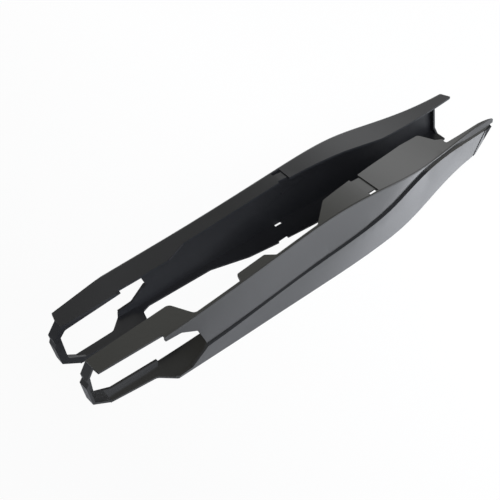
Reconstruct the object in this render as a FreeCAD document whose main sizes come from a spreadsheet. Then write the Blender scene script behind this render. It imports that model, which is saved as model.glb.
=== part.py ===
import FreeCAD, Part
import math
import os

import Sketcher

# A pair of moulded channel guards for the two arms of a swingarm.
# +X runs forward along the arms, +Y to the left, +Z up, and the guards stand on their bottom flanges.
# In each guard's own lengths, "at" runs forward from the rear end of the arm, "out" runs outward from the
# straight line of the top fold, and "high" runs up from the floor.

doc = FreeCAD.newDocument("swingarm_protector")
sheet = doc.addObject("Spreadsheet::Sheet", "Sizes")

SIZES = {
    # the moulding
    "wall": 2.3,
    "fold_ease": 1.6,
    "lip_round": 0.8,
    "ledge_fall": 0.8,
    "flange_stock": 48.0,
    "cut_past": 40.0,
    # how the pair stands
    "half_gap": 46.6,
    "toe_in": 1.27,
    "middle_at": 259.0,
    "first_section": -35.3,
    "section_pitch": 52.3,
    # axle window in the outer wall
    "window_inset": 12.0,
    "window_head": 7.2,
    "window_head_fall": 1.6,
    "window_shoulder_run": 16.5,
    "window_throat_run": 17.0,
    "window_throat_fall": 10.5,
    "window_nose_run": 9.0,
    "window_round": 5.0,
    # frame round the window
    "frame_in": 25.0,
    "rail_lip": 6.0,
    "rail_lip_front": 1.6,
    "rail_rear_out": 7.5,
    "floor_rear_out": 15.0,
    "floor_front_out": 11.4,
    "floor_front_back": 4.0,
    "floor_rise_run": 10.5,
    "floor_round": 7.0,
    "top_lip_run": 60.0,
    "bottom_lip_run": 68.0,
    "stile_lip": 6.5,
    "stile_width": 10.0,
    "stile_notch_run": 0.8,
    "stile_notch_fall": 5.6,
    "stile_waist_fall": 9.6,
    "stile_foot_run": 5.2,
    "stile_foot_rise": 11.8,
    "chamfer_run": 11.6,
    "stile_round": 4.0,
    # strap recesses and slots
    "strap_wide": 12.0,
    "strap_deep": 1.2,
    "strap_skim": 0.05,
    "strap_notch": 2.0,
    "slot_long": 9.0,
    "slot_wide": 3.6,
    "slot_back": 1.2,
    "foot_slot_ahead": 8.0,
    # front end of the outer wall
    "split_high": 42.0,
    "nose_roof": 6.5,
    "front_lip": 5.0,
    "score_wide": 2.4,
    "score_deep": 0.9,
    "score_back": 12.0,
    "score_low_back": 4.0,
}

# Cross-sections at an even pitch from rear to front: the top fold, the ledge and the bottom fold,
# each as outward and upward distances, and how far the ledge stands out.
SECTIONS = {
    "stub": (0.7, 61.5, 4.6, 21.9, 1.2, 8.4, 1.6),
    "rear": (0.7, 63.4, 4.6, 22.0, 1.2, 5.0, 1.6),
    "rail": (1.0, 65.2, 4.6, 22.4, 1.8, 1.6, 1.6),
    "sill": (1.2, 67.5, 4.6, 23.5, 2.4, 0.0, 1.6),
    "heel": (0.7, 71.1, 4.2, 26.3, 3.8, 0.0, 1.6),
    "mid": (0.5, 75.6, 4.4, 31.3, 5.0, 0.0, 1.6),
    "crest": (1.4, 79.4, 7.6, 38.8, 6.3, 0.0, 2.0),
    "shoulder": (4.6, 78.6, 10.0, 47.1, 6.3, 0.0, 2.3),
    "bend": (5.0, 72.1, 5.4, 57.5, 3.5, 2.2, 2.5),
    "neck": (-0.4, 67.3, 1.0, 62.2, -2.9, 12.3, 2.6),
    "nose": (-4.8, 66.9, 0.0, 60.8, -5.8, 22.6, 2.6),
    "tip": (-8.6, 68.5, -1.5, 57.5, -8.0, 32.5, 2.6),
}
SECTION_SIZES = ("top_out", "top_high", "ledge_out", "ledge_high", "foot_out", "foot_high", "ledge_deep")

# Free edges of the flanges from rear to front: name, run from the last point, distance in, corner radius.
# Each edge is three chains, which start at the rear section, at the strap and at the nose section.
RIGHT_TOP_EDGE = [
    ("block", 85.5, 25.0, 6.0),
    ("root", 11.0, 2.4, 5.0),
    ("tab_rear", 50.5, 2.4, 0.0),
    ("tab_heel", 3.0, 10.0, 2.0),
    ("tab_toe", 31.5, 10.0, 3.0),
    ("tab_front", 8.0, 2.4, 3.0),
    ("web_root", 50.0, 2.4, 4.0),
    ("web", 24.5, 21.0, 7.0),
]
RIGHT_PLATE_EDGE = [
    ("plate", 70.0, 34.6, 0.0),
    ("plate_corner", 27.0, 35.0, 5.0),
    ("plate_heel", 8.0, 19.0, 2.0),
    ("plate_toe", 7.0, 15.0, 1.5),
    ("plate_root", -2.0, 8.8, 2.0),
]
RIGHT_NOSE_EDGE = [
    ("lip", 1.1, 7.8, 0.0),
    ("horn", 4.0, 7.2, 0.0),
    ("horn_tip", 17.0, 4.2, 0.0),
    ("horn_heel", -6.2, -2.5, 0.0),
]
LEFT_TOP_EDGE = [
    ("block", 59.0, 25.0, 0.0),
    ("step", 3.0, 22.2, 0.0),
    ("step_front", 55.0, 23.0, 6.0),
    ("waist", 21.0, 15.5, 6.0),
]
LEFT_PLATE_EDGE = [
    ("run_up", 68.0, 19.0, 20.0),
    ("plate", 48.0, 22.8, 20.0),
]
LEFT_NOSE_EDGE = [
    ("lip", -2.2, 17.4, 0.0),
    ("horn_tip", 15.6, 16.4, 1.0),
    ("horn_corner", -5.4, 4.8, 1.5),
    ("horn_side", -6.5, 4.6, 0.0),
    ("wall_top", 0.6, -8.0, 0.0),
]
RIGHT_BOTTOM_EDGE = [("block", 117.0, 25.0, 0.0)]
RIGHT_BOTTOM_PLATE_EDGE = [("plate", 100.0, 27.0, 0.0)]
RIGHT_BOTTOM_NOSE_EDGE = [("front", 23.1, 29.0, 0.0)]
LEFT_BOTTOM_EDGE = [
    ("block", 89.0, 25.0, 3.0),
    ("step", 4.5, 8.0, 4.0),
    ("bare", 9.0, 4.9, 2.0),
    ("bare_front", 72.0, 4.9, 8.0),
    ("web", 40.0, 15.0, 8.0),
]
LEFT_BOTTOM_PLATE_EDGE = [("plate", 33.0, 20.4, 0.0)]
LEFT_BOTTOM_NOSE_EDGE = [("front", 7.8, 28.0, 0.0)]


def fill_sheet():
    rows = dict(SIZES)
    for name, row in SECTIONS.items():
        rows.update({f"{name}_{size}": amount for size, amount in zip(SECTION_SIZES, row)})
    for label, guard in GUARDS.items():
        rows.update({f"{label}_{size}": amount for size, amount in guard["own"].items()})
        for prefix, chains, strap_rear_in, strap_front_in in (guard["top"], guard["bottom"]):
            rows[f"{prefix}_strap_rear_in"] = strap_rear_in
            rows[f"{prefix}_strap_front_in"] = strap_front_in
            for name, run, inward, radius in sum(chains, []):
                rows[f"{prefix}_{name}_run"] = run
                rows[f"{prefix}_{name}_in"] = inward
                if radius:
                    rows[f"{prefix}_{name}_round"] = radius
    for line, (alias, amount) in enumerate(rows.items(), start=1):
        sheet.set(f"A{line}", alias)
        sheet.set(f"B{line}", str(amount))
        sheet.setAlias(f"B{line}", alias)
    doc.recompute()


def cell(alias):
    return f"Sizes.{alias}"


def at(section):
    return f"{cell('first_section')} + {list(SECTIONS).index(section)} * {cell('section_pitch')}"


def number(expression):
    return float(sheet.evalExpression(expression))


def plane(body, role):
    return next(feature for feature in body.Origin.OriginFeatures if feature.Role == role)


def round_corner(before, corner, after, radius):
    to_before = (before - corner).normalize()
    to_after = (after - corner).normalize()
    half = math.acos(max(-1.0, min(1.0, to_before.dot(to_after)))) / 2
    start = corner + to_before * (radius / math.tan(half))
    end = corner + to_after * (radius / math.tan(half))
    centre = corner + (to_before + to_after).normalize() * (radius / math.sin(half))
    left_turn = (corner - before).cross(after - corner).z > 0
    first, last = (start, end) if left_turn else (end, start)
    angle_first = math.atan2(first.y - centre.y, first.x - centre.x)
    angle_last = math.atan2(last.y - centre.y, last.x - centre.x)
    if angle_last < angle_first:
        angle_last += 2 * math.pi
    circle = Part.Circle(centre, FreeCAD.Vector(0, 0, 1), radius)
    arc = Part.ArcOfCircle(circle, angle_first, angle_last)
    ends = (1, 2) if left_turn else (2, 1)
    return start, end, arc, ends


def profile(body, name, role, offset, loops):
    """A sketch of closed loops whose corners are sheet expressions: across, up and, if rounded, the radius."""
    sketch = body.newObject("Sketcher::SketchObject", name)
    sketch.AttachmentSupport = [(plane(body, role), "")]
    sketch.MapMode = "FlatFace"
    sketch.setExpression("AttachmentOffset.Base.z", offset)
    constraints, bindings = [], []
    for corners in loops:
        draw_loop(sketch, corners, constraints, bindings)
    sketch.addConstraint(constraints)
    for index, expression in bindings:
        sketch.setExpression(f"Constraints[{index}]", expression)
    return sketch


def draw_loop(sketch, corners, constraints, bindings):
    points = [FreeCAD.Vector(number(across), number(up), 0) for across, up, _ in corners]
    count = len(corners)
    starts, ends, arcs = list(points), list(points), {}
    for i, (_, _, radius) in enumerate(corners):
        if radius:
            starts[i], ends[i], arc, order = round_corner(
                points[i - 1], points[i], points[(i + 1) % count], number(radius)
            )
            arcs[i] = (arc, order)
    # line i runs from corner i to corner i + 1
    lines = [
        sketch.addGeometry(Part.LineSegment(ends[i], starts[(i + 1) % count]), False) for i in range(count)
    ]

    def bind(constraint, expression):
        bindings.append((len(constraints), expression))
        constraints.append(constraint)

    for i, (across, up, radius) in enumerate(corners):
        line_in, line_out = lines[i - 1], lines[i]
        if i in arcs:
            arc, (arc_start, arc_end) = arcs[i]
            arc_id = sketch.addGeometry(arc, False)
            spot = sketch.addGeometry(Part.Point(points[i]), True)
            constraints.append(Sketcher.Constraint("Tangent", line_in, 2, arc_id, arc_start))
            constraints.append(Sketcher.Constraint("Tangent", arc_id, arc_end, line_out, 1))
            constraints.append(Sketcher.Constraint("PointOnObject", spot, 1, line_in))
            constraints.append(Sketcher.Constraint("PointOnObject", spot, 1, line_out))
            bind(Sketcher.Constraint("Radius", arc_id, number(radius)), radius)
            where = (spot, 1)
        else:
            constraints.append(Sketcher.Constraint("Coincident", line_in, 2, line_out, 1))
            where = (line_out, 1)
        bind(Sketcher.Constraint("DistanceX", -1, 1, *where, points[i].x), across)
        bind(Sketcher.Constraint("DistanceY", -1, 1, *where, points[i].y), up)


def pad(body, sketch, length, reverse):
    feature = body.newObject("PartDesign::Pad", f"{sketch.Name}_pad")
    feature.Profile = sketch
    feature.setExpression("Length", length)
    feature.Reversed = reverse
    feature.Refine = False


def pocket(body, sketch, length, reverse):
    before = body.Tip.Shape.Volume
    feature = body.newObject("PartDesign::Pocket", f"{sketch.Name}_pocket")
    feature.Profile = sketch
    feature.setExpression("Length", length)
    feature.Reversed = reverse
    feature.Refine = False
    doc.recompute()
    if feature.Shape.Volume >= before:
        raise RuntimeError(f"{feature.Name} removed nothing")


def sideways(out, distance):
    return f"{out} * ({distance})"


def eased(first, corner, last):
    """The three points that ease a sharp corner between two points on its legs."""
    middle = tuple(f"({a}) / 4 + ({p}) / 2 + ({b}) / 4" for a, p, b in zip(first, corner, last))
    return [first, middle, last]


def section_corners(name):
    """One cross-section: flange, eased fold, upper face, ledge, lower face, eased fold, flange, and back inside."""
    stock = f"-{cell('flange_stock')}"
    wall, ease = cell("wall"), cell("fold_ease")
    top, high = cell(f"{name}_top_out"), cell(f"{name}_top_high")
    ledge, ledge_high = cell(f"{name}_ledge_out"), cell(f"{name}_ledge_high")
    foot, foot_high = cell(f"{name}_foot_out"), cell(f"{name}_foot_high")
    upper_face = f"{ledge} - {cell(f'{name}_ledge_deep')}"
    lower_high = f"{ledge_high} - {cell('ledge_fall')}"
    upper_slope = f"({upper_face} - {top}) / ({high} - {ledge_high})"
    lower_slope = f"({ledge} - {foot}) / ({lower_high} - {foot_high})"
    top_fold = eased(
        (f"{top} - {ease}", high), (top, high), (f"{top} + {upper_slope} * {ease}", f"{high} - {ease}")
    )
    bottom_fold = eased(
        (f"{foot} + {lower_slope} * {ease}", f"{foot_high} + {ease}"),
        (foot, foot_high),
        (f"{foot} - {ease}", foot_high),
    )
    return [
        (stock, high),
        *top_fold,
        (upper_face, ledge_high),
        (ledge, lower_high),
        *bottom_fold,
        (stock, foot_high),
        (stock, f"{foot_high} + {wall}"),
        (f"{foot} - {wall}", f"{foot_high} + {wall}"),
        (f"{ledge} - {wall}", f"{lower_high} - {wall}"),
        (f"{upper_face} - {wall}", f"{ledge_high} - {wall}"),
        (f"{top} - {wall}", f"{high} - {wall}"),
        (stock, f"{high} - {wall}"),
    ]


def channel(body, out):
    """The folded channel: flanges, two-face wall and ledge, lofted through the cross-sections."""
    sketches = []
    for name in SECTIONS:
        corners = [(sideways(out, across), up, None) for across, up in section_corners(name)]
        sketches.append(profile(body, f"{body.Name}_{name}", "YZ_Plane", at(name), [corners]))
    loft = body.newObject("PartDesign::AdditiveLoft", f"{body.Name}_channel")
    loft.Profile = sketches[0]
    loft.Sections = sketches[1:]
    loft.Ruled = False
    loft.Refine = False


def edge_points(prefix, points, start):
    """Running positions and inward distances of a flange's free edge, as sheet expressions."""
    position = start
    chain = []
    for name, _, _, radius in points:
        position = f"{position} + {cell(f'{prefix}_{name}_run')}"
        rounding = cell(f"{prefix}_{name}_round") if radius else None
        chain.append((position, cell(f"{prefix}_{name}_in"), rounding))
    return chain


def window_rail_end():
    shoulder = f"{at('sill')} - {cell('window_nose_run')} - {cell('window_throat_run')}"
    return f"{shoulder} - {cell('window_shoulder_run')}"


def floor_end():
    return f"{window_rail_end()} + {cell('floor_rise_run')}"


def rear_end(label):
    return f"{at('rear')} + {cell(f'{label}_rear_shift')}"


def edge_loop(prefix, chains, strap):
    """Everything inside a flange's free edge, which has the strap's notch in it."""
    rear, plate, nose = chains
    strap_at = at(strap)
    strap_rear = f"{strap_at} - {cell('strap_wide')}"
    rear_in, front_in = cell(f"{prefix}_strap_rear_in"), cell(f"{prefix}_strap_front_in")
    chain = edge_points(prefix, rear, at("rear"))
    chain.append((strap_rear, rear_in, None))
    chain.append((strap_rear, f"{rear_in} - {cell('strap_notch')}", None))
    chain.append((strap_at, f"{rear_in} - {cell('strap_notch')}", None))
    chain.append((strap_at, front_in, None))
    chain += edge_points(prefix, plate, strap_at)
    chain += edge_points(prefix, nose, at("nose"))
    first_in = chain[0][1]
    last_at, last_in, _ = chain[-1]
    before = f"-{cell('cut_past')}"
    beyond = f"{at('tip')} + {cell('cut_past')}"
    far_in = f"{cell('flange_stock')} + {cell('cut_past')}"
    chain.append((last_at, f"{last_in} - {cell('cut_past')}", None))
    chain.append((beyond, f"{last_in} - {cell('cut_past')}", None))
    chain.append((beyond, far_in, None))
    chain.append((before, far_in, None))
    chain.append((before, first_in, None))
    return chain


def rail_loop(label):
    """Everything outside the rail over the window."""
    before = f"-{cell('cut_past')}"
    rear = rear_end(label)
    return [
        (before, f"{cell('frame_in')} - {cell('stile_width')}", None),
        (rear, f"{cell('frame_in')} - {cell('stile_width')}", None),
        (f"{rear} + {cell(f'{label}_rail_heel_run')}", cell("rail_rear_out"), None),
        (window_rail_end(), cell(f"{label}_rail_front_out"), None),
        (window_rail_end(), f"-{cell('cut_past')}", None),
        (before, f"-{cell('cut_past')}", None),
    ]


def floor_loop(label):
    """Everything outside the rail under the window."""
    before = f"-{cell('cut_past')}"
    front = f"{window_rail_end()} - {cell('floor_front_back')}"
    return [
        (before, cell("floor_rear_out"), None),
        (f"{rear_end(label)} + {cell('chamfer_run')}", cell("floor_rear_out"), None),
        (front, cell("floor_front_out"), cell("floor_round")),
        (floor_end(), f"-{cell('rail_foot_out')}", None),
        (floor_end(), f"-{cell('cut_past')}", None),
        (before, f"-{cell('cut_past')}", None),
    ]


def slot_loop(section, fold, ahead):
    """The strap's slot, just inside the fold."""
    front = f"{at(section)} + {ahead}"
    rear = f"{front} - {cell('slot_long')}"
    near = f"{cell('wall')} - {cell(f'{section}_{fold}_out')}"
    far = f"{near} + {cell('slot_wide')}"
    return [(front, near, None), (rear, near, None), (rear, far, None), (front, far, None)]


def trim_flange(body, out, name, loops, upward):
    loops = [
        [(along, sideways(-out, inward), radius) for along, inward, radius in loop] for loop in loops
    ]
    sketch = profile(body, f"{body.Name}_{name}_plan", "XY_Plane", cell("split_high"), loops)
    pocket(body, sketch, f"{cell('crest_top_high')} + {cell('cut_past')}", upward)


def open_window(body, out):
    """Opens the axle window in the wall."""
    head = f"{cell('sill_top_high')} - {cell('window_head')}"
    shoulder = f"{at('sill')} - {cell('window_nose_run')} - {cell('window_throat_run')}"
    throat_high = f"{head} - {cell('window_head_fall')} - {cell('window_throat_fall')}"
    chin = f"{at('sill')} - {cell(f'{body.Name}_chin_run')}"
    chin_high = f"{cell('sill_foot_high')} + {cell(f'{body.Name}_chin_rise')}"
    strip_high = f"{cell('sill_foot_high')} + {cell(f'{body.Name}_strip_rise')}"
    before = f"{at('rear')} - {cell('cut_past')}"
    rounding = cell("window_round")
    corners = [
        (before, head, None),
        (window_rail_end(), head, None),
        (shoulder, f"{head} - {cell('window_head_fall')}", rounding),
        (f"{at('sill')} - {cell('window_nose_run')}", throat_high, rounding),
        (at("sill"), cell("sill_ledge_high"), None),
        (chin, chin_high, rounding),
        (floor_end(), strip_high, None),
        (before, strip_high, None),
    ]
    start = sideways(out, cell("window_inset"))
    sketch = profile(body, f"{body.Name}_window", "XZ_Plane", start, [corners])
    pocket(body, sketch, f"{cell('window_inset')} + {cell('cut_past')}", out < 0)


def frame_window(body, out):
    """The angle-section frame round the rear end: an inner lip all round, and the stile that closes it."""
    wall, lip = cell("wall"), cell("stile_lip")
    floor_lip = cell(f"{body.Name}_floor_lip")
    rear = rear_end(body.Name)
    roof = f"{cell('rear_top_high')} - {wall} / 2"
    tip = f"{rear} - {cell(f'{body.Name}_tip_run')}"
    tip_high = f"{cell('rear_top_high')} - {cell(f'{body.Name}_tip_fall')}"
    notch = f"{tip} + {cell('stile_notch_run')}"
    notch_high = f"{tip_high} - {cell('stile_notch_fall')}"
    waist = f"{rear} - {cell(f'{body.Name}_waist_run')}"
    waist_high = f"{tip_high} - {cell('stile_waist_fall')}"
    foot = f"{rear} - {cell('stile_foot_run')}"
    foot_high = f"{cell('rear_foot_high')} + {cell('stile_foot_rise')}"
    heel = f"{rear} + {cell('chamfer_run')}"
    top_end = f"{rear} + {cell('top_lip_run')}"
    bottom_end = f"{rear} + {cell('bottom_lip_run')}"
    rise = f"({cell('rail_top_high')} - {cell('rear_top_high')}) / {cell('section_pitch')}"
    fall = f"({cell('rear_foot_high')} - {cell('rail_foot_high')}) / {cell('section_pitch')}"
    floor = f"{cell('rear_foot_high')} + {wall} / 4 - {fall} * {cell('chamfer_run')}"
    top_end_high = f"{roof} + {rise} * {cell('top_lip_run')}"
    bottom_end_high = f"{cell('rear_foot_high')} + {wall} / 4 - {fall} * {cell('bottom_lip_run')}"
    inner_face = sideways(out, cell("frame_in"))
    outer_edge = [
        (rear, roof, None),
        (tip, tip_high, None),
        (notch, notch_high, None),
        (waist, waist_high, None),
        (foot, foot_high, None),
        (heel, floor, None),
    ]
    ring = [
        (top_end, top_end_high, None),
        *outer_edge,
        (bottom_end, bottom_end_high, None),
        (bottom_end, f"{bottom_end_high} + {floor_lip}", cell("lip_round")),
        (f"{heel} + {lip}", f"{floor} + {floor_lip}", None),
        (f"{foot} + {lip}", f"{foot_high} + {lip} / 2", cell("stile_round")),
        (f"{tip} + {lip}", tip_high, None),
        (f"{rear} + {lip} / 2", f"{roof} - {cell('rail_lip')}", cell("stile_round")),
        (top_end, f"{top_end_high} - {cell('rail_lip_front')}", None),
    ]
    sketch = profile(body, f"{body.Name}_lip", "XZ_Plane", inner_face, [ring])
    pad(body, sketch, wall, out > 0)
    stile = [
        *outer_edge,
        (f"{heel} + 1.5 * {wall}", floor, None),
        (f"{foot} + {wall}", f"{foot_high} + {wall} / 2", None),
        (f"{waist} + {wall}", waist_high, None),
        (f"{notch} + {wall}", notch_high, None),
        (f"{tip} + {wall}", tip_high, None),
        (f"{rear} + {wall}", roof, None),
    ]
    sketch = profile(body, f"{body.Name}_stile", "XZ_Plane", inner_face, [stile])
    pad(body, sketch, cell("stile_width"), out > 0)


def cut_strap_seat(body, out, section):
    """A shallow ramped recess for a strap across the outside of each flange."""
    front = at(section)
    rear = f"{front} - {cell('strap_wide')}"
    loops = []
    for fold, sign in (("top", 1), ("foot", -1)):
        high = cell(f"{section}_{fold}_high")
        past = f"{high} + {sign} * {cell('cut_past')}"
        loops.append(
            [
                (rear, f"{high} + {sign} * {cell('strap_skim')}", None),
                (front, f"{high} - {sign} * {cell('strap_deep')}", None),
                (front, past, None),
                (rear, past, None),
            ]
        )
    inner = f"{cell('flange_stock')} + {cell('cut_past')}"
    sketch = profile(body, f"{body.Name}_strap", "XZ_Plane", sideways(out, inner), loops)
    pocket(body, sketch, f"{inner} + {cell(f'{section}_top_out')} - {cell('wall')}", out < 0)


def cut_ends(body, out):
    """Squares off the rear, and cuts the front back below the top edge, which stays as a horn."""
    front = f"{at('nose')} + {cell(f'{body.Name}_nose_run')}"
    front_low = f"{front} - {cell(f'{body.Name}_nose_bottom_back')}"
    roof = f"{cell('nose_top_high')} - {cell('nose_roof')}"
    above = f"{cell('crest_top_high')} + {cell('cut_past')}"
    below = f"-{cell('cut_past')}"
    beyond = f"{at('tip')} + {cell('cut_past')}"
    before = f"{at('stub')} - {cell('cut_past')}"
    nose = [
        (front, roof, None),
        (front_low, cell("nose_foot_high"), None),
        (front_low, below, None),
        (beyond, below, None),
        (beyond, roof, None),
    ]
    rear_top = rear_end(body.Name)
    rear_low = f"{rear_top} + {cell('chamfer_run')}"
    rear = [
        (rear_top, above, None),
        (before, above, None),
        (before, below, None),
        (rear_low, below, None),
        (rear_low, cell("rear_ledge_high"), None),
        (rear_top, cell("rear_ledge_high"), None),
    ]
    inner = f"{cell('flange_stock')} + {cell('cut_past')}"
    sketch = profile(body, f"{body.Name}_ends", "XZ_Plane", sideways(out, inner), [nose, rear])
    pocket(body, sketch, f"{inner} + {cell('cut_past')}", out < 0)


def turn_in_front(body, out):
    """The front edge of the wall, turned in, with a gusset at its foot."""
    wall, lip = cell("wall"), cell("front_lip")
    back = f"{at('nose')} + {cell(f'{body.Name}_nose_run')} - {wall}"
    roof = f"{cell('nose_top_high')} - {cell('nose_roof')}"
    floor = f"{cell('nose_foot_high')} + 0.8 * {wall}"
    ledge = f"{cell('nose_ledge_out')} - {wall} / 2"
    foot = f"{cell('nose_foot_out')} - {wall} / 2"
    corners = [
        (ledge, roof, None),
        (foot, floor, None),
        (f"{foot} - 2 * {lip}", floor, None),
        (f"{foot} - {lip}", f"{floor} + {lip}", None),
        (f"{ledge} - {lip}", roof, None),
    ]
    corners = [(sideways(out, across), up, radius) for across, up, radius in corners]
    sketch = profile(body, f"{body.Name}_front", "YZ_Plane", back, [corners])
    pad(body, sketch, wall, False)


def score_front(body, out):
    """A groove down the outer face, behind the front edge."""
    front = f"{at('nose')} + {cell(f'{body.Name}_nose_run')}"
    wide = cell("score_wide")
    low_start = f"{front} - {cell(f'{body.Name}_nose_bottom_back')} - {cell('score_low_back')}"
    high = f"{cell('nose_ledge_high')} - {cell('ledge_fall')}"
    ends = {
        "high": (f"{front} - {cell('score_back')}", cell("nose_ledge_out"), high),
        "low": (low_start, cell("nose_foot_out"), cell("nose_foot_high")),
    }
    sketches = []
    for name, (start, face, level) in ends.items():
        bottom = sideways(out, f"{face} - {cell('score_deep')}")
        outside = sideways(out, f"{face} + {wide}")
        end = f"{start} + {wide}"
        corners = [(start, bottom, None), (end, bottom, None), (end, outside, None), (start, outside, None)]
        sketches.append(profile(body, f"{body.Name}_score_{name}", "XY_Plane", level, [corners]))
    groove = body.newObject("PartDesign::SubtractiveLoft", f"{body.Name}_score")
    groove.Profile = sketches[0]
    groove.Sections = sketches[1:]
    groove.Ruled = True
    groove.Refine = False


def guard(label, plan):
    body = doc.addObject("PartDesign::Body", label)
    body.Label = label
    out, strap = plan["out"], plan["strap"]
    channel(body, out)
    doc.recompute()
    cut_ends(body, out)
    open_window(body, out)
    top, bottom = plan["top"], plan["bottom"]
    top_slot = slot_loop(strap, "top", f"-{cell('slot_back')}")
    trim_flange(body, out, "top", [edge_loop(*top[:2], strap), rail_loop(label), top_slot], True)
    foot_slot = slot_loop(strap, "foot", cell("foot_slot_ahead"))
    trim_flange(body, out, "bottom", [edge_loop(*bottom[:2], strap), floor_loop(label), foot_slot], False)
    cut_strap_seat(body, out, strap)
    frame_window(body, out)
    plan["front"](body, out)
    body.setExpression("Placement.Base.x", f"-{cell('middle_at')}")
    body.setExpression("Placement.Base.y", sideways(out, cell("half_gap")))
    body.setExpression("Placement.Rotation.Angle", sideways(-out, cell("toe_in")))
    return body


def check(bodies):
    for item in doc.Objects:
        if "Invalid" in item.State or "Error" in item.State:
            raise RuntimeError(f"{item.Label} failed: {item.State}")
    for body in bodies:
        if body.Shape.isNull() or not body.Shape.isValid() or len(body.Shape.Solids) != 1:
            raise RuntimeError(f"{body.Label} is not one sound solid")


GUARDS = {
    "right_guard": {
        "out": -1,
        "strap": "shoulder",
        "front": score_front,
        "own": {
            "rear_shift": -0.3,
            "tip_run": 6.6,
            "tip_fall": 12.5,
            "waist_run": 8.6,
            "floor_lip": 6.2,
            "rail_heel_run": 0.6,
            "rail_front_out": 2.8,
            "chin_run": 17.5,
            "chin_rise": 5.4,
            "strip_rise": 4.8,
            "nose_run": 16.6,
            "nose_bottom_back": 12.5,
        },
        "top": ("right_top", [RIGHT_TOP_EDGE, RIGHT_PLATE_EDGE, RIGHT_NOSE_EDGE], 24.4, 25.2),
        "bottom": (
            "right_bottom",
            [RIGHT_BOTTOM_EDGE, RIGHT_BOTTOM_PLATE_EDGE, RIGHT_BOTTOM_NOSE_EDGE],
            25.0,
            25.0,
        ),
    },
    "left_guard": {
        "out": 1,
        "strap": "crest",
        "front": turn_in_front,
        "own": {
            "rear_shift": 3.6,
            "tip_run": 8.4,
            "tip_fall": 13.6,
            "waist_run": 8.9,
            "floor_lip": 4.5,
            "rail_heel_run": 1.9,
            "rail_front_out": -1.0,
            "chin_run": 16.5,
            "chin_rise": 10.5,
            "strip_rise": 9.0,
            "nose_run": 1.4,
            "nose_bottom_back": 0.5,
        },
        "top": ("left_top", [LEFT_TOP_EDGE, LEFT_PLATE_EDGE, LEFT_NOSE_EDGE], 15.4, 16.4),
        "bottom": (
            "left_bottom",
            [LEFT_BOTTOM_EDGE, LEFT_BOTTOM_PLATE_EDGE, LEFT_BOTTOM_NOSE_EDGE],
            18.4,
            18.4,
        ),
    },
}

fill_sheet()
guards = [guard(label, plan) for label, plan in GUARDS.items()]
doc.recompute()
check(guards)
os.makedirs("parts", exist_ok=True)
for body in guards:
    body.Shape.exportStep(f"parts/{body.Label}.step")
    print(body.Label, round(body.Shape.Volume), "cubic mm", body.Shape.BoundBox)
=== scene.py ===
import math
import bpy
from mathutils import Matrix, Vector
from mathutils.kdtree import KDTree


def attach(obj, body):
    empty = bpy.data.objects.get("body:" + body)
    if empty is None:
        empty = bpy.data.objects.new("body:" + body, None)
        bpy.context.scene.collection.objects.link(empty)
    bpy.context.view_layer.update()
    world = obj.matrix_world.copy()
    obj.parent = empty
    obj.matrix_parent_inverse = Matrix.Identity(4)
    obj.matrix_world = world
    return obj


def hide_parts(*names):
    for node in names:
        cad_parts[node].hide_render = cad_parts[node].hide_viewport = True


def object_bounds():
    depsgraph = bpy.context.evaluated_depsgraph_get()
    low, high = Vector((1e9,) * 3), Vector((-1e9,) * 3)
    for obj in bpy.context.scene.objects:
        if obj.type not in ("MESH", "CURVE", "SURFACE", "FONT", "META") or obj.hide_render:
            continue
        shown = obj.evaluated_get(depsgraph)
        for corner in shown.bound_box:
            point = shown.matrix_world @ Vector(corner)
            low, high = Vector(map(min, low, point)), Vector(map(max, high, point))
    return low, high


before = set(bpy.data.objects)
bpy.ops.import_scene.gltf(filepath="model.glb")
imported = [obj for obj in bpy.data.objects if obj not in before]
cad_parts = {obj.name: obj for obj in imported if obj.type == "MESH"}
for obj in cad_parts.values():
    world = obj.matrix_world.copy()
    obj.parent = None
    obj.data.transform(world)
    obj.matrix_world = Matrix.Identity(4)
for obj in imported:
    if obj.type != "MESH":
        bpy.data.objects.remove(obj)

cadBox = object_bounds()  # the solids' own box, before anything is dressed
print("frame loaded:", ", ".join(sorted(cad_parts)))


def hexColor(code):
    def toLinear(part):
        value = int(part, 16) / 255
        return value / 12.92 if value <= 0.04045 else ((value + 0.055) / 1.055) ** 2.4
    return tuple(toLinear(code[i:i + 2]) for i in (1, 3, 5)) + (1.0,)


# Sockets go by name, or by number where a node has several of that name.
# A colour Mix takes its two colours at 6 and 7 and gives the mixed one at 2.
def addNode(tree, kind, settings=None, inputs=None, links=None):
    node = tree.nodes.new(kind)
    for name, value in (settings or {}).items():
        setattr(node, name, value)
    for name, value in (inputs or {}).items():
        node.inputs[name].default_value = value
    for name, source in (links or {}).items():
        tree.links.new(source, node.inputs[name])
    return node


def newMaterial(name):
    material = bpy.data.materials.new(name)
    material.use_nodes = True
    material.node_tree.nodes.clear()
    return material, material.node_tree


def pickOnly(*objects):
    bpy.ops.object.select_all(action="DESELECT")
    for item in objects:
        item.select_set(True)
    bpy.context.view_layer.objects.active = objects[0]


# Moulded polypropylene, black all through: a satin skin that mirrors the room softly, with a fine grain
# from the tool and slow changes of gloss where the melt flowed.
moulding = {
    "right_guard": {"colour": "#101011", "paleColour": "#191918", "skinWeight": 1.0, "dustAndTopLight": 0.25},
    "left_guard": {"colour": "#0f1012", "paleColour": "#18181b", "skinWeight": 0.3, "dustAndTopLight": 0.06},
    # Up-facing faces are paled towards this colour: partly dust, partly painted top light, more on the right
    # guard than the left.
    "dustAndTopLightColour": "#4a4944",
    "dustAndTopLightTilt": (0.9, 0.99),  # the upward share of a face's normal where dust and painted top light begin, and where they are full
    "dustAndTopLightAboveMm": (30, 50),  # the bottom flanges, which lie in shade, get none of it
    "roughness": (0.26, 0.36),
    "grainMm": 0.9,  # coarser than the real grain, so that it shows at this size
    "grainDepth": 0.05,
    "flowMm": 70,
    "flowDetail": 3,
    "ior": 1.5,
    "skinRoughness": 0.12,
}

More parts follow.
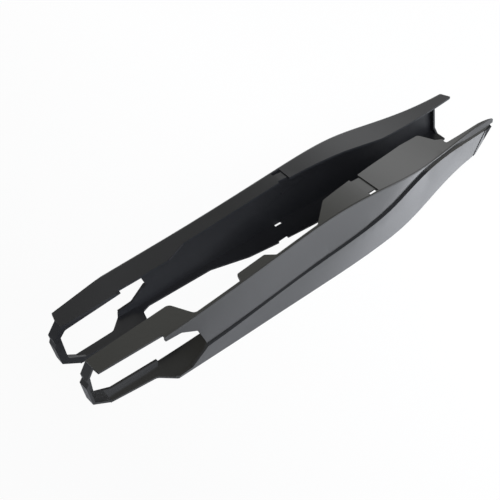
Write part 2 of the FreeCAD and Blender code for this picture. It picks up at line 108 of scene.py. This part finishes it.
# The core side of the tool is not polished: the inside faces are greyer and softer, with no shiny skin.
inside = {
    "colour": "#1b1c1f",
    "paleColour": "#242528",
    "roughness": 0.42,
    "specular": 0.4,
    "grainDepth": 0.075,
    "stileXMm": -205,  # the window's frame behind this is polished all round
}

# Painted shade on the ledge and on bands at the front ends: they keep the tool's coarse grain and a matt
# finish with nearly no mirror, which paints them dark like shadow lines.
shadeBand = {
    "colour": "#121314",
    "paleColour": "#151617",
    "roughness": 0.55,
    "specular": 0.15,
    "grainDepth": 0.15,
    "fromXMm": 235.5,
    "belowZMm": 60,
    "ledgeTilt": (0.2, 0.3),  # how far the ledge looks outward and up
}


def addBlackStock(tree, look, grainDepth):
    # What the three finishes share: the flow of the melt, the colour that follows it, and the grain.
    where = addNode(tree, "ShaderNodeTexCoord").outputs["Object"]
    flow = addNode(tree, "ShaderNodeTexNoise",
                   inputs={"Scale": 1000 / moulding["flowMm"], "Detail": moulding["flowDetail"]},
                   links={"Vector": where}).outputs["Fac"]
    tint = addNode(tree, "ShaderNodeMix", {"data_type": "RGBA"},
                   inputs={6: hexColor(look["colour"]), 7: hexColor(look["paleColour"])},
                   links={"Factor": flow}).outputs[2]
    grain = addNode(tree, "ShaderNodeTexNoise",
                    inputs={"Scale": 1000 / moulding["grainMm"]},
                    links={"Vector": where}).outputs["Fac"]
    relief = addNode(tree, "ShaderNodeBump",
                     inputs={"Strength": grainDepth, "Distance": moulding["grainMm"] / 1000},
                     links={"Height": grain}).outputs["Normal"]
    return where, flow, tint, relief


def makeMoulding(guardName):
    look = moulding[guardName]
    material, tree = newMaterial("black moulded polypropylene, " + guardName.replace("_", " "))
    where, flow, tint, relief = addBlackStock(tree, look, moulding["grainDepth"])

    # Dust and painted top light: up-facing faces grow paler, except low down on the shaded bottom flanges.
    facing = addNode(tree, "ShaderNodeNewGeometry").outputs["Normal"]
    upShare = addNode(tree, "ShaderNodeSeparateXYZ", links={"Vector": facing}).outputs["Z"]
    begins, fullFrom = moulding["dustAndTopLightTilt"]
    onTop = addNode(tree, "ShaderNodeMapRange",
                    inputs={"From Min": begins, "From Max": fullFrom, "To Max": look["dustAndTopLight"]},
                    links={"Value": upShare}).outputs["Result"]
    height = addNode(tree, "ShaderNodeSeparateXYZ", links={"Vector": where}).outputs["Z"]
    low, high = moulding["dustAndTopLightAboveMm"]
    clearOfShadedFlanges = addNode(tree, "ShaderNodeMapRange",
                          inputs={"From Min": low / 1000, "From Max": high / 1000},
                          links={"Value": height}).outputs["Result"]
    dustAndTopLight = addNode(tree, "ShaderNodeMath", {"operation": "MULTIPLY"},
                   links={0: onTop, 1: clearOfShadedFlanges}).outputs[0]
    dustedAndTopLit = addNode(tree, "ShaderNodeMix", {"data_type": "RGBA"},
                    inputs={7: hexColor(moulding["dustAndTopLightColour"])},
                    links={"Factor": dustAndTopLight, 6: tint}).outputs[2]

    smooth, rough = moulding["roughness"]
    gloss = addNode(tree, "ShaderNodeMapRange",
                    inputs={"To Min": smooth, "To Max": rough},
                    links={"Value": flow}).outputs["Result"]
    plastic = addNode(tree, "ShaderNodeBsdfPrincipled",
                      inputs={"IOR": moulding["ior"],
                              "Coat Weight": look["skinWeight"],
                              "Coat Roughness": moulding["skinRoughness"]},
                      links={"Base Color": dustedAndTopLit, "Roughness": gloss, "Normal": relief})
    addNode(tree, "ShaderNodeOutputMaterial", links={"Surface": plastic.outputs["BSDF"]})
    return material


def makeMatt(name, look):
    material, tree = newMaterial("black polypropylene, " + name)
    _, _, tint, relief = addBlackStock(tree, look, look["grainDepth"])
    plastic = addNode(tree, "ShaderNodeBsdfPrincipled",
                      inputs={"Roughness": look["roughness"], "Specular IOR Level": look["specular"]},
                      links={"Base Color": tint, "Normal": relief})
    addNode(tree, "ShaderNodeOutputMaterial", links={"Surface": plastic.outputs["BSDF"]})
    return material


guards = {
    "inward": {"right_guard": 1, "left_guard": -1},  # which way along Y the inside faces look
    "weldMm": 0.01,
    "smoothDegrees": 9,
    "areaWeight": 90,
    "settleReachMm": 9,
    "settleDegrees": 14,  # skin that turns further than this is left out of the mean
    "samplesPerReach": 3,
    "wallTilt": 0.5,  # the sideways share of a normal that makes a face part of the wall
}


def sampleSkin(mesh, spacing):
    # Points along each triangle from its sharpest corner, with the area that each stands for.
    samples = []
    for face in mesh.polygons:
        ends = [mesh.vertices[i].co for i in face.vertices]
        sides = [(ends[i - 1] - ends[i - 2]).length for i in range(3)]
        tip = sides.index(min(sides))
        foot = (ends[tip - 1] + ends[tip - 2]) / 2
        steps = max(1, math.ceil((foot - ends[tip]).length / spacing))
        for step in range(steps):
            share = (step + 0.5) / steps
            area = face.area * 2 * share / steps
            samples.append((ends[tip].lerp(foot, share), face.normal.copy(), area))
    return samples


def settleNormals(mesh):
    # The solids come as long thin triangles. A mean over the skin nearby keeps them out of the gloss.
    reach = guards["settleReachMm"] / 1000
    likeness = math.cos(math.radians(guards["settleDegrees"]))
    samples = sampleSkin(mesh, reach / guards["samplesPerReach"])
    nearby = KDTree(len(samples))
    for index, sample in enumerate(samples):
        nearby.insert(sample[0], index)
    nearby.balance()

    settled = {}
    normals = []
    for face in mesh.polygons:
        for loopIndex in face.loop_indices:
            first = mesh.corner_normals[loopIndex].vector
            if first.dot(face.normal) < likeness:
                first = face.normal
            vertexIndex = mesh.loops[loopIndex].vertex_index
            key = (vertexIndex,) + tuple(round(value, 3) for value in first)
            if key not in settled:
                total = Vector()
                for _, index, away in nearby.find_range(mesh.vertices[vertexIndex].co, reach):
                    _, normal, area = samples[index]
                    if normal.dot(first) > likeness:
                        total += normal * area * (1 - away / reach)
                settled[key] = total.normalized() if total.length else first.copy()
            normals.append(settled[key])
    mesh.normals_split_custom_set(normals)


def dressMattFaces(mesh, inward):
    mesh.materials.append(makeMatt("inside face", inside))
    mesh.materials.append(makeMatt("matt band", shadeBand))
    insideSlot, shadeBandSlot = 1, 2
    outTilt, upTilt = shadeBand["ledgeTilt"]
    for face in mesh.polygons:
        x, z = face.center.x * 1000, face.center.z * 1000
        if face.normal.y * inward > guards["wallTilt"] and x > inside["stileXMm"]:
            face.material_index = insideSlot
        onLedge = face.normal.y * inward < -outTilt and face.normal.z > upTilt
        # the right guard's outer face and the left one's inner face
        onShadeBand = face.normal.y < -guards["wallTilt"] and x > shadeBand["fromXMm"]
        # the ledge and the front-end bands take the matt finish that paints shade on them
        if z < shadeBand["belowZMm"] and (onLedge or onShadeBand):
            face.material_index = shadeBandSlot


def dressGuard(name):
    pickOnly(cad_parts[name])
    bpy.ops.object.duplicate()
    shell = bpy.context.view_layer.objects.active
    shell.name = name + "_shell"
    bpy.ops.object.mode_set(mode="EDIT")
    bpy.ops.mesh.select_all(action="SELECT")
    bpy.ops.mesh.remove_doubles(threshold=guards["weldMm"] / 1000)
    bpy.ops.object.mode_set(mode="OBJECT")
    bpy.ops.object.shade_smooth_by_angle(angle=math.radians(guards["smoothDegrees"]))
    evenOut = shell.modifiers.new("even shading", "WEIGHTED_NORMAL")
    evenOut.keep_sharp = True
    evenOut.weight = guards["areaWeight"]
    bpy.ops.object.modifier_apply(modifier=evenOut.name)
    settleNormals(shell.data)
    shell.data.materials.clear()
    shell.data.materials.append(makeMoulding(name))
    dressMattFaces(shell.data, guards["inward"][name])
    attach(shell, "root")
    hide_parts(name)


for guardName in guards["inward"]:
    dressGuard(guardName)
print("guards dressed")


# Paper on the floor, with painted shade that darkens it towards the rear as if the light fell off there; it
# shows in the gloss and the bounced light. The camera sees it nearly white, with a faint shadow.
floorPaper = {
    "sizeM": 6.0,
    "shadedRearColour": "#8a8a8b",
    "litFrontColour": "#fafafa",
    "shadeMm": (-250, 130),  # from behind the stiles to the front
    "whiteShare": 0.95,  # how far the white hides the shadow from the camera
}


def makeFloor():
    material, tree = newMaterial("pale floor")
    where = addNode(tree, "ShaderNodeTexCoord").outputs["Object"]
    along = addNode(tree, "ShaderNodeSeparateXYZ", links={"Vector": where}).outputs["X"]
    rear, front = floorPaper["shadeMm"]
    forward = addNode(tree, "ShaderNodeMapRange",
                      inputs={"From Min": rear / 1000, "From Max": front / 1000},
                      links={"Value": along}).outputs["Result"]
    shade = addNode(tree, "ShaderNodeMix", {"data_type": "RGBA"},
                    inputs={6: hexColor(floorPaper["shadedRearColour"]), 7: hexColor(floorPaper["litFrontColour"])},
                    links={"Factor": forward}).outputs[2]
    paper = addNode(tree, "ShaderNodeBsdfDiffuse", links={"Color": shade}).outputs[0]
    white = addNode(tree, "ShaderNodeEmission").outputs[0]
    fromCamera = addNode(tree, "ShaderNodeLightPath").outputs["Is Camera Ray"]
    whiteShare = addNode(tree, "ShaderNodeMath", {"operation": "MULTIPLY"},
                         inputs={1: floorPaper["whiteShare"]},
                         links={0: fromCamera}).outputs[0]
    surface = addNode(tree, "ShaderNodeMixShader", links={0: whiteShare, 1: paper, 2: white}).outputs[0]
    addNode(tree, "ShaderNodeOutputMaterial", links={"Surface": surface})
    bpy.ops.object.select_all(action="DESELECT")
    bpy.ops.mesh.primitive_plane_add(size=floorPaper["sizeM"], location=(0, 0, cadBox[0][2]))
    floor = bpy.context.active_object
    floor.name = "floor"
    floor.data.materials.append(material)


# Pale walls under a greyer ceiling, brightest in front of the guards. The camera sees plain white.
surround = {
    "wall": "#f4f5f6",
    "ceiling": "#7d7b71",
    "ceilingFrom": (0.5, 0.85),  # the upward share of a direction where the wall ends and the ceiling starts
    "brightHeadingDegrees": 75,  # from +Y towards +X
    "brightFrom": (-0.2, 0.8),  # the share of a direction along that heading, from dim to bright
    "dimShare": 0.3,
    "seenColour": "#ffffff",
}


def makeSurround():
    world = bpy.data.worlds.new("white surround")
    bpy.context.scene.world = world
    world.use_nodes = True
    tree = world.node_tree
    tree.nodes.clear()
    fromCamera = addNode(tree, "ShaderNodeLightPath").outputs["Is Camera Ray"]
    way = addNode(tree, "ShaderNodeTexCoord").outputs["Generated"]

    upShare = addNode(tree, "ShaderNodeSeparateXYZ", links={"Vector": way}).outputs["Z"]
    wallEnd, ceilingStart = surround["ceilingFrom"]
    climb = addNode(tree, "ShaderNodeMapRange", {"interpolation_type": "SMOOTHSTEP"},
                    inputs={"From Min": wallEnd, "From Max": ceilingStart},
                    links={"Value": upShare}).outputs["Result"]
    walls = addNode(tree, "ShaderNodeMix", {"data_type": "RGBA"},
                    inputs={6: hexColor(surround["wall"]), 7: hexColor(surround["ceiling"])},
                    links={"Factor": climb}).outputs[2]
    colour = addNode(tree, "ShaderNodeMix", {"data_type": "RGBA"},
                     inputs={7: hexColor(surround["seenColour"])},
                     links={"Factor": fromCamera, 6: walls}).outputs[2]

    heading = math.radians(surround["brightHeadingDegrees"])
    alongHeading = addNode(tree, "ShaderNodeVectorMath", {"operation": "DOT_PRODUCT"},
                           inputs={1: (math.sin(heading), math.cos(heading), 0)},
                           links={0: way}).outputs["Value"]
    dim, bright = surround["brightFrom"]
    level = addNode(tree, "ShaderNodeMapRange", {"interpolation_type": "SMOOTHSTEP"},
                    inputs={"From Min": dim, "From Max": bright, "To Min": surround["dimShare"]},
                    links={"Value": alongHeading}).outputs["Result"]
    strength = addNode(tree, "ShaderNodeMath", {"operation": "MAXIMUM"},
                       links={0: level, 1: fromCamera}).outputs[0]
    glow = addNode(tree, "ShaderNodeBackground", links={"Color": colour, "Strength": strength}).outputs[0]
    addNode(tree, "ShaderNodeOutputWorld", links={"Surface": glow})


# One large soft lamp over the right side, placed so that the folds and the ledge don't mirror it.
lamp = {
    "spot": (-0.25, -1.2, 1.05),
    "sizeM": 2.3,
    "watts": 66,
    "colour": "#f3f7ff",
}


def makeLamp():
    bpy.ops.object.light_add(type="AREA", location=lamp["spot"])
    light = bpy.context.active_object
    light.name = "soft lamp"
    light.data.size = lamp["sizeM"]
    light.data.energy = lamp["watts"]
    light.data.color = hexColor(lamp["colour"])[:3]
    light.rotation_euler = Vector(lamp["spot"]).to_track_quat("Z", "Y").to_euler()  # shines at the origin


makeFloor()
makeSurround()
makeLamp()
print("room lit")


# The photograph's view: over the right rear corner, looking forward and left, with no roll.
camera = {
    "spot": (-0.46266, -0.48868, 0.70862),
    "headingDegrees": 40.2,  # from +Y towards +X
    "dipDegrees": 46.0,
    "lensMm": 72.0,
    "sensorMm": 36.0,
}


def makeCamera():
    bpy.ops.object.camera_add(location=camera["spot"])
    eye = bpy.context.active_object
    tilt = math.radians(90 - camera["dipDegrees"])
    eye.rotation_euler = (tilt, 0, -math.radians(camera["headingDegrees"]))
    eye.data.lens = camera["lensMm"]
    eye.data.sensor_width = camera["sensorMm"]
    bpy.context.scene.camera = eye
    bpy.context.scene.view_settings.view_transform = "Standard"


makeCamera()
print("camera placed")
